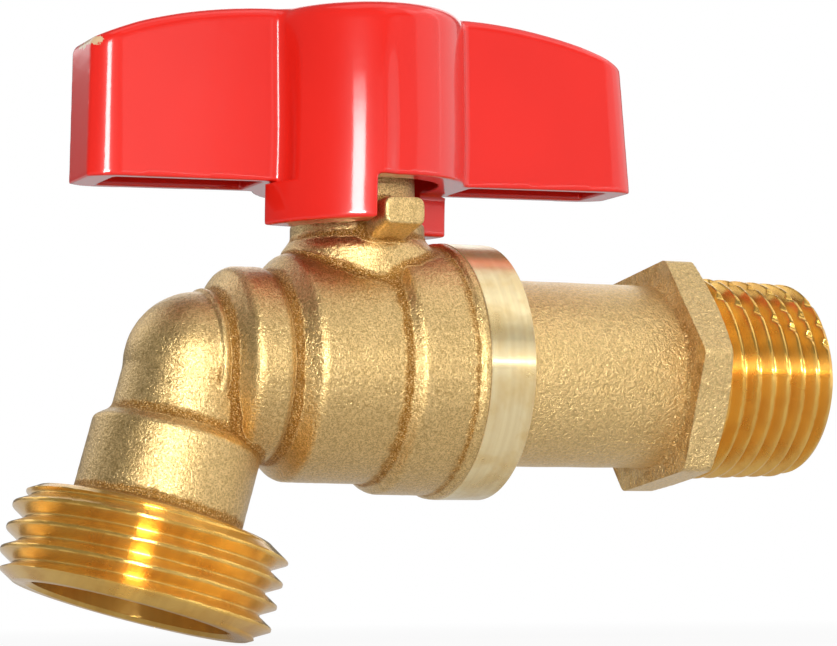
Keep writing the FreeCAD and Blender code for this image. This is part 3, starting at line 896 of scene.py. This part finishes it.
def cast_brass(name, grain, tone, relief, mottle):
    """Sand-cast brass: fine sparkling grain, faint patches, and painted shade in the hollows, a darker
    golden-brown flecked with painted glints.
    """
    m = Nodes(name)
    v = m.place()
    fine = m.noise(v, 7500 * grain, 2.0, 0.6)
    middle = m.noise(v, 3600 * grain, 2.5, 0.6)
    coarse = m.noise(v, 900 * grain, 3.0)
    patch = m.noise(v, 130, 3.0, 0.6, 0.4)
    # painted glints: bright specks of colour in the hollows, standing in for sparkles of light
    painted_glint = m.fit(m.noise(v, 7000 * grain, 1.0, 0.5), 0.50, 0.66)
    # mask for painted shade: how deep a point lies in a hollow, broken up by coarse noise
    hollow_shade = m.fit(m.plus(m.layer("hollow_shade"), m.centred(coarse, 0.16)), 0.005, 0.11)
    light = m.mix(patch, scaled((0.90, 0.650, 0.290), tone), scaled((0.84, 0.585, 0.235), tone))
    shade_and_glint_colour = m.mix(painted_glint, scaled((0.46, 0.22, 0.035), tone), scaled((0.92, 0.64, 0.28), tone))
    # painted shade: the colour turns darker golden-brown in the hollows
    colour = m.mix(m.times(hollow_shade, 0.92), light, shade_and_glint_colour)
    grains = m.plus(m.times(fine, 0.6), m.times(middle, 0.4))
    speck = tuple(1.0 - mottle * (1.0 - c) for c in (0.62, 0.55, 0.42))
    shade = m.mix(m.fit(grains, 0.38, 0.62), speck, (1.10, 1.10, 1.12))
    height = m.times(fine, m.fit(hollow_shade, 0.0, 1.0, 0.9, 3.0))
    normal = m.bump(height, 0.00006 * relief, 1.0, m.bump(middle, 0.00008 * relief))
    m.set("Base Color", m.mix(1.0, colour, shade, "MULTIPLY"))
    m.set("Metallic", 0.96)
    m.set("Roughness", m.plus(m.fit(coarse, 0.3, 0.7, 0.29, 0.36), m.times(hollow_shade, 0.14)))
    m.set("Normal", normal)
    m.set("Coat Weight", m.fit(hollow_shade, 0.0, 1.0, 0.45, 0.05))
    m.set("Coat Roughness", 0.24)
    m.set("Coat Normal", normal)
    return m.material


def turned_brass(name, rotation, colour, rough, metal=1.0, lines=0.00001, axis=None):
    """Machined brass with fine tool lines round one axis, which the rotation lays on X.

    Where the axis itself is given too, reflections are drawn out as such lines draw them.
    """
    m = Nodes(name)
    v = m.place(rotation, (1.0, 0.012, 0.012))
    fine = m.noise(v, 9000, 2.0, 0.7)
    broad = m.noise(v, 1700, 2.0, 0.6)
    stain = m.noise(m.place(), 260, 4.0, 0.6, 0.3)
    stained = tuple(c * s for c, s in zip(colour, (0.90, 0.80, 0.62)))
    tone = m.mix(m.fit(stain, 0.35, 0.7), colour, stained)
    streak = m.mix(m.fit(broad, 0.35, 0.65, 0.82, 1.0), (0.6, 0.5, 0.4), (1, 1, 1))
    m.set("Base Color", m.mix(1.0, tone, streak, "MULTIPLY"))
    m.set("Metallic", metal)
    m.set("Roughness", m.fit(stain, 0.3, 0.7, rough, rough + 0.08))
    m.set("Coat Weight", 0.4)
    m.set("Coat Roughness", 0.14)
    m.set("Normal", m.bump(m.plus(m.times(fine, 0.5), m.times(broad, 0.5)), lines))
    if axis is not None:
        m.set("Anisotropic", 1.0)
        tangent = m.add("ShaderNodeCombineXYZ")
        for socket, value in zip(tangent.inputs, axis):
            socket.default_value = value
        m.set("Tangent", tangent.outputs[0])
    return m.material


def red_enamel():
    """Glossy red enamel on die-cast metal, chipped along a few edges."""
    m = Nodes("red_enamel")
    v = m.place()
    peel = m.noise(v, 420, 2.0, 0.5)
    dust = m.noise(v, 2400, 2.0, 0.6)
    tint = m.noise(v, 60, 2.0, 0.5)
    flakes = m.noise(v, 900, 4.0, 0.7)
    chip = m.fit(m.plus(m.layer("wear"), m.centred(flakes, 1.1)), 0.62, 0.68)
    red = m.mix(m.fit(tint, 0.3, 0.7), (0.69, 0.013, 0.006), (0.65, 0.011, 0.005))
    m.set("Base Color", m.mix(chip, red, (0.62, 0.42, 0.24)))
    m.set("Roughness", m.fit(chip, 0.0, 1.0, 0.34, 0.5))
    m.set("Specular IOR Level", 0.15)
    m.set("Coat Weight", 1.0)
    m.set("Coat Roughness", 0.10)
    m.set("Coat IOR", 1.5)
    normal = m.bump(peel, 0.00005, 0.35)
    normal = m.bump(dust, 0.000006, 0.3, normal)
    m.set("Normal", m.bump(m.times(chip, -1.0), 0.00008, 0.6, normal))
    m.set("Coat Normal", m.bump(peel, 0.00004, 0.22))
    return m.material


def plain_metal(name, colour, rough, grain):
    """Plated or ground metal with faint grain and stains."""
    m = Nodes(name)
    v = m.place()
    fine = m.noise(v, 5200, 3.0, 0.65)
    stain = m.noise(v, 480, 3.0, 0.6)
    m.set("Base Color", m.mix(m.fit(stain, 0.35, 0.7), colour, scaled(colour, 0.78)))
    m.set("Metallic", 1.0)
    m.set("Roughness", m.fit(stain, 0.3, 0.7, rough, rough + 0.12))
    m.set("Normal", m.bump(fine, grain))
    return m.material


def moulded(name, colour, rough, grain):
    """Rubber or plastic with a fine matt skin."""
    m = Nodes(name)
    v = m.place()
    fine = m.noise(v, 3600, 4.0, 0.6)
    cloud = m.noise(v, 500, 3.0, 0.5)
    m.set("Base Color", m.mix(m.fit(cloud, 0.3, 0.7), colour, scaled(colour, 0.82)))
    m.set("Roughness", m.fit(fine, 0.3, 0.7, rough, rough + 0.1))
    m.set("Normal", m.bump(fine, grain))
    return m.material


PIPE_LINES = (0, 0, 0)
STEM_LINES = (0, math.pi / 2, 0)
SPOUT_LINES = (0, math.pi / 2 + spout_tilt, 0)

CAST = cast_brass("cast_brass", 1.0, 1.0, 1.0, 1.0)
FORGED = cast_brass("forged_brass", 0.72, 1.02, 3.2, 0.55)
RING = turned_brass("turned_ring_brass", PIPE_LINES, (0.94, 0.78, 0.45), 0.20, 0.75, axis=(1, 0, 0))
PIPE_THREAD = turned_brass("pipe_thread_brass", PIPE_LINES, (0.95, 0.58, 0.13), 0.20, 0.9, axis=(1, 0, 0))
HOSE_THREAD = turned_brass("hose_thread_brass", SPOUT_LINES, (1.0, 0.64, 0.16), 0.20, 0.9, axis=spout_axis)
ENAMEL = red_enamel()
STEEL = plain_metal("plated_steel", (0.62, 0.62, 0.60), 0.25, 0.00001)
CHROME = plain_metal("chromed_ball", (0.72, 0.73, 0.74), 0.08, 0.000004)
NUT_BRASS = turned_brass("nut_brass", STEM_LINES, (0.84, 0.62, 0.28), 0.26, lines=0.00002)
RUBBER = moulded("seal_rubber", (0.025, 0.025, 0.027), 0.55, 0.00002)
PLASTIC = moulded("seat_plastic", (0.80, 0.80, 0.76), 0.35, 0.00001)

SLOT_LOOKS = {
    "cast_brass": CAST, "machined_brass": NUT_BRASS, "chromed_ball": CHROME,
    "seat_plastic": PLASTIC, "seal_rubber": RUBBER, "red_enamel": ENAMEL, "plated_steel": STEEL,
}


def dress(obj, materials):
    obj.data.materials.clear()
    for material in materials:
        obj.data.materials.append(material)


# ---------------------------------------------------------------- pieces
def finished_body():
    """Valve body, with its cast skin, hose thread and machined bores each in their own look."""
    shape = valve_body_mesh()
    dress(shape, [CAST, HOSE_THREAD, NUT_BRASS])
    centres = face_centres(shape.data)
    around_spout, down_spout = local(centres, SPOUT)
    around_pipe, along_pipe = local(centres, PIPE)
    index = np.zeros(len(centres), int)
    index[(down_spout > 15.42) & (along_pipe < -8)] = 1
    in_chamber = (around_pipe < spigot_radius + 0.06) & (along_pipe > -8.3)
    index[(along_pipe > ring_start - 0.02) | in_chamber] = 2
    index[(around_spout < collar_bore_radius + 0.1) & (down_spout > 0) & (down_spout < 15.5)] = 2
    set_slots(shape.data, index)
    shaded(shape, 38)
    return shape


def finished_tail():
    """Inlet tail, with its forged neck and hex, turned ring, thread and machined bore, and painted shade
    at the neck's root and on the hex's left face.
    """
    shape = inlet_mesh()
    mesh = shape.data
    dress(shape, [FORGED, RING, PIPE_THREAD, NUT_BRASS])
    around_pipe, along_pipe = local(face_centres(mesh), PIPE)
    index = np.zeros(len(along_pipe), int)
    index[along_pipe < ring_end + 0.05] = 1
    index[along_pipe > hex_end - 0.01] = 2
    index[around_pipe < seat_pocket_radius + 0.05] = 3
    set_slots(mesh, index)
    shaded(shape, 38)
    around_pipe, along_pipe = local(coordinates(mesh), PIPE)
    # painted shade: a mask that darkens the crease at the neck's root and the hex's left face
    root = bell(along_pipe - ring_end - 0.25, 0.5) * (around_pipe < 10.8)
    shoulder = (along_pipe > hex_start - 0.45) & (along_pipe < hex_start + 0.02) & (around_pipe < 12.25)
    attribute(mesh, "hollow_shade", np.maximum(0.13 * root, 0.055 * shoulder))
    return shape


def finished_lever():
    """Handle, with its enamel worn at one corner, down one end edge and round the rim."""
    shape = handle_mesh()
    mesh = shape.data
    dress(shape, [ENAMEL])
    shaded(shape, 60)
    x, y, z = (coordinates(mesh) / MM - np.array((stem_x, 0, 0))).T
    corner = 0.85 * bell(x + 28.4, 1.1) * bell(z - 30.6, 0.9) * (y < 1.0)
    end_edge = 0.42 * bell(x + 29.0, 0.55) * bell(y + 2.95, 0.45) * (z > 19)
    rim = 0.30 * bell(np.hypot(x, y) - 9.9, 0.6) * bell(z - 34.4, 0.5)
    attribute(mesh, "wear", np.maximum(np.maximum(corner, end_edge), rim))
    return shape


for part in frame["record"]["subparts"]:
    dress(nodes[part["node"]], [SLOT_LOOKS[part["material_slot"]]])

body = finished_body()
tail = finished_tail()
lever = finished_lever()

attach(body, "valve")
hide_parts("valve_body")
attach(tail, "valve")
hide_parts("inlet_adapter")
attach(lever, "handle_and_stem")
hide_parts("handle")


# ---------------------------------------------------------------- studio
def panel(name, azimuth, elevation, distance, width, height, radiance):
    """Soft box facing the valve, sizes in metres; radiance fixes how bright it looks.

    Its azimuth is measured from -Y towards +X.
    """
    a, e = math.radians(azimuth), math.radians(elevation)
    out = Vector((math.sin(a) * math.cos(e), -math.cos(a) * math.cos(e), math.sin(e)))
    target = Vector((stem_x * MM, 0, 0.005))
    light = bpy.data.lights.new(name, "AREA")
    light.shape = "RECTANGLE"
    light.size, light.size_y = width, height
    light.energy = radiance * math.pi * width * height
    obj = bpy.data.objects.new(name, light)
    obj.location = target + distance * out
    obj.rotation_euler = (target - (target + distance * out)).to_track_quat("-Z", "Y").to_euler()
    obj.visible_camera = False
    bpy.context.scene.collection.objects.link(obj)


def white_world():
    """White where the camera sees it, dimmer in what it lights, dimmest in reflections."""
    world = bpy.data.worlds.new("studio")
    world.use_nodes = True
    tree = world.node_tree
    background = tree.nodes["Background"]
    background.inputs["Color"].default_value = (1, 1, 1, 1)
    path = tree.nodes.new("ShaderNodeLightPath")
    unseen = tree.nodes.new("ShaderNodeMapRange")
    unseen.inputs["To Min"].default_value = 0.17
    unseen.inputs["To Max"].default_value = 0.46
    strength = tree.nodes.new("ShaderNodeMapRange")
    strength.inputs["To Max"].default_value = 1.0
    tree.links.new(path.outputs["Is Diffuse Ray"], unseen.inputs["Value"])
    tree.links.new(unseen.outputs["Result"], strength.inputs["To Min"])
    tree.links.new(path.outputs["Is Camera Ray"], strength.inputs["Value"])
    tree.links.new(strength.outputs["Result"], background.inputs["Strength"])
    bpy.context.scene.world = world


def white_floor():
    """Floor under the part, nearly white beside it and white further out."""
    z = cad_box[0][2] / MM - 0.05
    half = 3000
    floor = mesh_object("floor", [(-half, -half, z), (half, -half, z), (half, half, z), (-half, half, z)],
                        [(0, 1, 2, 3)])
    look = Nodes("floor_white")
    look.set("Base Color", (0.45, 0.45, 0.45, 1))
    look.set("Roughness", 0.6)
    glow = look.add("ShaderNodeEmission")
    spread = look.add("ShaderNodeMixShader")
    spot = look.place(scale=(1, 1, 0), location=(-stem_x * MM, 0, 0))
    length = look.add("ShaderNodeVectorMath", operation="LENGTH")
    look.link(spot, length.inputs[0])
    seen = look.add("ShaderNodeLightPath").outputs["Is Camera Ray"]
    near_white = look.fit(length.outputs["Value"], 0.03, 0.16, 0.92, 1.0)
    look.put(spread.inputs[0], look.times(near_white, look.fit(seen, 0.0, 1.0, 0.22, 1.0)))
    look.link(look.shader.outputs[0], spread.inputs[1])
    look.link(glow.outputs[0], spread.inputs[2])
    look.link(spread.outputs[0], look.output.inputs["Surface"])
    floor.data.materials.append(look.material)
    return floor


def place_camera(position, yaw, pitch, roll, focal_length):
    """Camera at a position in metres, turned yaw degrees right of +Y and pitched up."""
    yaw, pitch, roll = (math.radians(a) for a in (yaw, pitch, roll))
    ahead = Vector((math.sin(yaw) * math.cos(pitch), math.cos(yaw) * math.cos(pitch), math.sin(pitch)))
    level = Vector((math.cos(yaw), -math.sin(yaw), 0))
    upright = level.cross(ahead)
    across = math.cos(roll) * level + math.sin(roll) * upright
    up = -math.sin(roll) * level + math.cos(roll) * upright
    view = bpy.data.cameras.new("camera")
    view.sensor_width = 36.0
    view.lens = focal_length
    view.clip_start = 0.01
    camera = bpy.data.objects.new("camera", view)
    placed = Matrix((across, up, -ahead)).transposed().to_4x4()
    placed.translation = Vector(position)
    camera.matrix_world = placed
    bpy.context.scene.collection.objects.link(camera)
    bpy.context.scene.camera = camera


# key light low behind the camera, fading upward
panel("key", -23, 4.5, 0.6, 0.17, 0.05, 72)
panel("key_middle", -23, 11.5, 0.6, 0.12, 0.10, 20)
panel("key_upper", -23, 17.8, 0.6, 0.12, 0.034, 6)
# dimmer panels on the right, which show in the enamel and the brass
panel("wing_glow", 18.5, 10, 0.6, 0.07, 0.12, 0.6)
panel("slit", 42, 4.6, 0.6, 0.62, 0.014, 6)
panel("wall_right_a", 18, 6, 0.6, 0.49, 0.32, 0.27)
panel("wall_right_upper", 30, 46, 0.6, 0.40, 0.26, 0.4)
panel("wall_right_b", 58, 20, 0.6, 0.36, 0.62, 0.75)
panel("wall_right_c", 92, 15, 0.6, 0.40, 0.90, 0.9)
# fill from above, below and behind
panel("window", 72, 56, 0.6, 0.50, 0.36, 0.6)
panel("overhead", 0, 80, 0.7, 0.5, 0.4, 0.7)
panel("low_right", 60, -14, 0.6, 0.5, 0.16, 0.8)
panel("back_left", -150, 30, 0.7, 0.5, 0.4, 1.2)
panel("back_right", 150, 30, 0.7, 0.5, 0.4, 1.2)

white_world()
white_floor()
place_camera((-0.16005, -0.247913, -0.021983), 25.272, 5.595, -0.676, 117.37634)
bpy.context.scene.view_settings.view_transform = "Standard"
